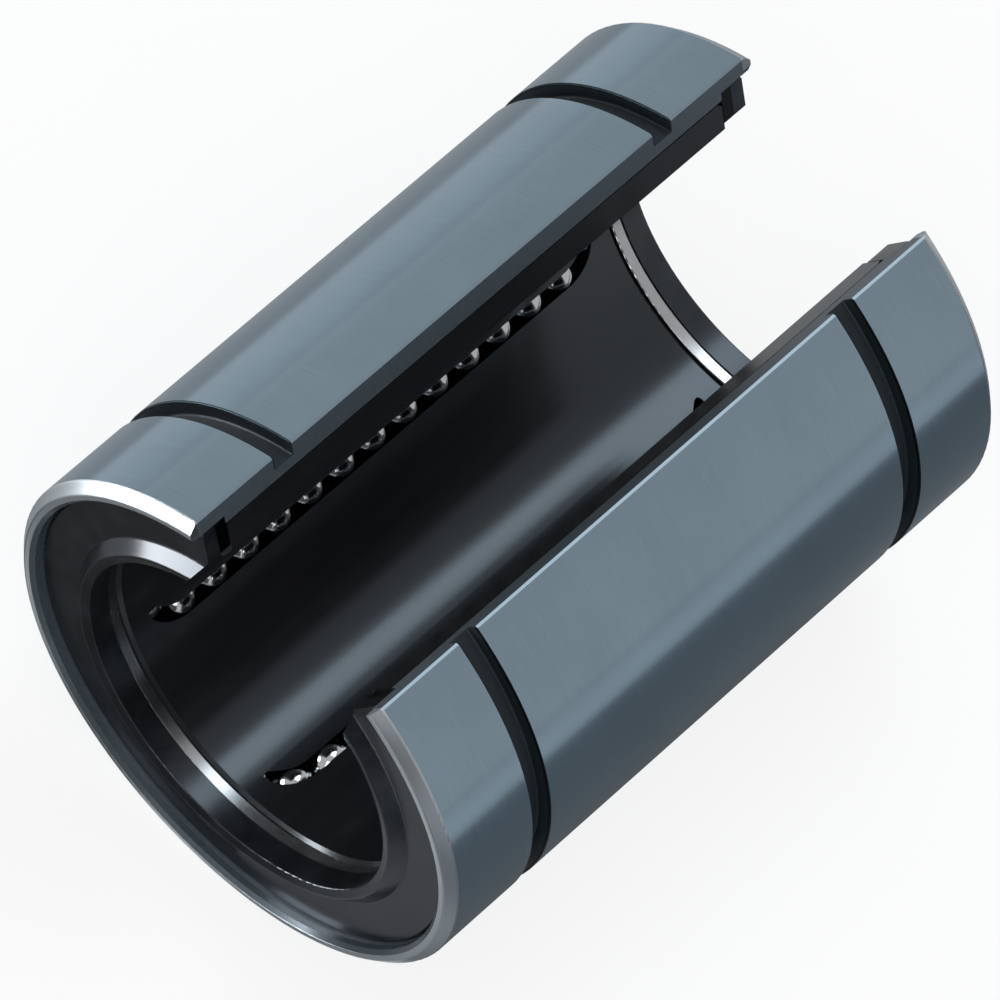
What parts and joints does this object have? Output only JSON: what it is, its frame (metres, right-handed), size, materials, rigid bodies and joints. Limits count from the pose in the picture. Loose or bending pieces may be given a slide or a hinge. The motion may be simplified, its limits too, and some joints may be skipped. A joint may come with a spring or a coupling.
{
  "type": "open-type linear ball bearing",
  "caption": "Slotted steel sleeve with a ball retainer, recirculating ball rows and end seals, which runs along a rail-supported round shaft.",
  "frame": {"origin": "on the bearing's axis, at half its length", "axes": "+X along the axis, +Z out of the middle of the slot; the bearing lies on its back with the slot up"},
  "size_m": [0.07, 0.052, 0.0494],
  "materials": {
    "bearing_steel": "ground hardened steel, satin",
    "ring_steel": "bright steel",
    "ball_steel": "polished",
    "retainer_plastic": "moulded, semi-gloss black",
    "seal_rubber": "moulded black"
  },
  "bodies": {
    "sleeve": {"outer_cylinder": "bearing_steel", "retainer": "retainer_plastic", "front_side_ring": "ring_steel", "rear_side_ring": "ring_steel", "front_seal": "seal_rubber", "rear_seal": "seal_rubber"},
    "circuit_1_load_balls": {"circuit_1_load_balls": "ball_steel"},
    "circuit_1_return_balls": {"circuit_1_return_balls": "ball_steel"},
    "circuit_1_front_turn_balls": {"circuit_1_front_turn_balls": "ball_steel"},
    "circuit_1_rear_turn_balls": {"circuit_1_rear_turn_balls": "ball_steel"},
    "circuit_2_load_balls": {"circuit_2_load_balls": "ball_steel"},
    "circuit_2_return_balls": {"circuit_2_return_balls": "ball_steel"},
    "circuit_2_front_turn_balls": {"circuit_2_front_turn_balls": "ball_steel"},
    "circuit_2_rear_turn_balls": {"circuit_2_rear_turn_balls": "ball_steel"},
    "circuit_3_load_balls": {"circuit_3_load_balls": "ball_steel"},
    "circuit_3_return_balls": {"circuit_3_return_balls": "ball_steel"},
    "circuit_3_front_turn_balls": {"circuit_3_front_turn_balls": "ball_steel"},
    "circuit_3_rear_turn_balls": {"circuit_3_rear_turn_balls": "ball_steel"},
    "circuit_4_load_balls": {"circuit_4_load_balls": "ball_steel"},
    "circuit_4_return_balls": {"circuit_4_return_balls": "ball_steel"},
    "circuit_4_front_turn_balls": {"circuit_4_front_turn_balls": "ball_steel"},
    "circuit_4_rear_turn_balls": {"circuit_4_rear_turn_balls": "ball_steel"},
    "circuit_5_load_balls": {"circuit_5_load_balls": "ball_steel"},
    "circuit_5_return_balls": {"circuit_5_return_balls": "ball_steel"},
    "circuit_5_front_turn_balls": {"circuit_5_front_turn_balls": "ball_steel"},
    "circuit_5_rear_turn_balls": {"circuit_5_rear_turn_balls": "ball_steel"}
  },
  "joints": [
    {"name": "circuit_1_load_run", "type": "slide", "parent": "sleeve", "child": "circuit_1_load_balls", "axis": [1, 0, 0], "range_m": [-0.00202, 0.00202]},
    {"name": "circuit_1_return_run", "type": "slide", "parent": "sleeve", "child": "circuit_1_return_balls", "axis": [-1, 0, 0], "range_m": [-0.00202, 0.00202]},
    {"name": "circuit_1_front_turn", "type": "hinge", "parent": "sleeve", "child": "circuit_1_front_turn_balls", "pos_m": [-0.02429, 0.01694, 0.01044], "axis": [0, -0.9397, -0.3419], "range_deg": [-30, 30]},
    {"name": "circuit_1_rear_turn", "type": "hinge", "parent": "sleeve", "child": "circuit_1_rear_turn_balls", "pos_m": [0.02429, 0.01694, 0.01044], "axis": [0, -0.9397, -0.3419], "range_deg": [-30, 30]},
    {"name": "circuit_2_load_run", "type": "slide", "parent": "sleeve", "child": "circuit_2_load_balls", "axis": [1, 0, 0], "range_m": [0, 0.00405]},
    {"name": "circuit_2_return_run", "type": "slide", "parent": "sleeve", "child": "circuit_2_return_balls", "axis": [-1, 0, 0], "range_m": [0, 0.00405]},
    {"name": "circuit_2_front_turn", "type": "hinge", "parent": "sleeve", "child": "circuit_2_front_turn_balls", "pos_m": [-0.02429, 0.01721, -0.01], "axis": [0, -0.7454, 0.6666], "range_deg": [0, 60]},
    {"name": "circuit_2_rear_turn", "type": "hinge", "parent": "sleeve", "child": "circuit_2_rear_turn_balls", "pos_m": [0.02429, 0.01721, -0.01], "axis": [0, -0.7454, 0.6666], "range_deg": [0, 60]},
    {"name": "circuit_3_load_run", "type": "slide", "parent": "sleeve", "child": "circuit_3_load_balls", "axis": [1, 0, 0], "range_m": [-0.00202, 0.00202]},
    {"name": "circuit_3_return_run", "type": "slide", "parent": "sleeve", "child": "circuit_3_return_balls", "axis": [-1, 0, 0], "range_m": [-0.00202, 0.00202]},
    {"name": "circuit_3_front_turn", "type": "hinge", "parent": "sleeve", "child": "circuit_3_front_turn_balls", "pos_m": [-0.02429, -0.00068, -0.01989], "axis": [0, 0.2352, 0.9719], "range_deg": [-30, 30]},
    {"name": "circuit_3_rear_turn", "type": "hinge", "parent": "sleeve", "child": "circuit_3_rear_turn_balls", "pos_m": [0.02429, -0.00068, -0.01989], "axis": [0, 0.2352, 0.9719], "range_deg": [-30, 30]},
    {"name": "circuit_4_load_run", "type": "slide", "parent": "sleeve", "child": "circuit_4_load_balls", "axis": [1, 0, 0], "range_m": [0, 0.00405]},
    {"name": "circuit_4_return_run", "type": "slide", "parent": "sleeve", "child": "circuit_4_return_balls", "axis": [-1, 0, 0], "range_m": [0, 0.00405]},
    {"name": "circuit_4_front_turn", "type": "hinge", "parent": "sleeve", "child": "circuit_4_front_turn_balls", "pos_m": [-0.02429, -0.01785, -0.0088], "axis": [0, 0.9677, 0.252], "range_deg": [0, 60]},
    {"name": "circuit_4_rear_turn", "type": "hinge", "parent": "sleeve", "child": "circuit_4_rear_turn_balls", "pos_m": [0.02429, -0.01785, -0.0088], "axis": [0, 0.9677, 0.252], "range_deg": [0, 60]},
    {"name": "circuit_5_load_run", "type": "slide", "parent": "sleeve", "child": "circuit_5_load_balls", "axis": [1, 0, 0], "range_m": [-0.00202, 0.00202]},
    {"name": "circuit_5_return_run", "type": "slide", "parent": "sleeve", "child": "circuit_5_return_balls", "axis": [-1, 0, 0], "range_m": [-0.00202, 0.00202]},
    {"name": "circuit_5_front_turn", "type": "hinge", "parent": "sleeve", "child": "circuit_5_front_turn_balls", "pos_m": [-0.02429, -0.01619, 0.01157], "axis": [0, 0.6794, -0.7338], "range_deg": [-30, 30]},
    {"name": "circuit_5_rear_turn", "type": "hinge", "parent": "sleeve", "child": "circuit_5_rear_turn_balls", "pos_m": [0.02429, -0.01619, 0.01157], "axis": [0, 0.6794, -0.7338], "range_deg": [-30, 30]}
  ],
  "couplings": [
    {"joint": "circuit_1_return_run", "follows": "circuit_1_load_run", "ratio": 1},
    {"joint": "circuit_1_front_turn", "follows": "circuit_1_load_run", "rad_per_m": 258.63},
    {"joint": "circuit_1_rear_turn", "follows": "circuit_1_load_run", "rad_per_m": 258.63},
    {"joint": "circuit_2_return_run", "follows": "circuit_2_load_run", "ratio": 1},
    {"joint": "circuit_2_front_turn", "follows": "circuit_2_load_run", "rad_per_m": 258.63},
    {"joint": "circuit_2_rear_turn", "follows": "circuit_2_load_run", "rad_per_m": 258.63},
    {"joint": "circuit_3_return_run", "follows": "circuit_3_load_run", "ratio": 1},
    {"joint": "circuit_3_front_turn", "follows": "circuit_3_load_run", "rad_per_m": 258.63},
    {"joint": "circuit_3_rear_turn", "follows": "circuit_3_load_run", "rad_per_m": 258.63},
    {"joint": "circuit_4_return_run", "follows": "circuit_4_load_run", "ratio": 1},
    {"joint": "circuit_4_front_turn", "follows": "circuit_4_load_run", "rad_per_m": 258.63},
    {"joint": "circuit_4_rear_turn", "follows": "circuit_4_load_run", "rad_per_m": 258.63},
    {"joint": "circuit_5_return_run", "follows": "circuit_5_load_run", "ratio": 1},
    {"joint": "circuit_5_front_turn", "follows": "circuit_5_load_run", "rad_per_m": 258.63},
    {"joint": "circuit_5_rear_turn", "follows": "circuit_5_load_run", "rad_per_m": 258.63}
  ]
}
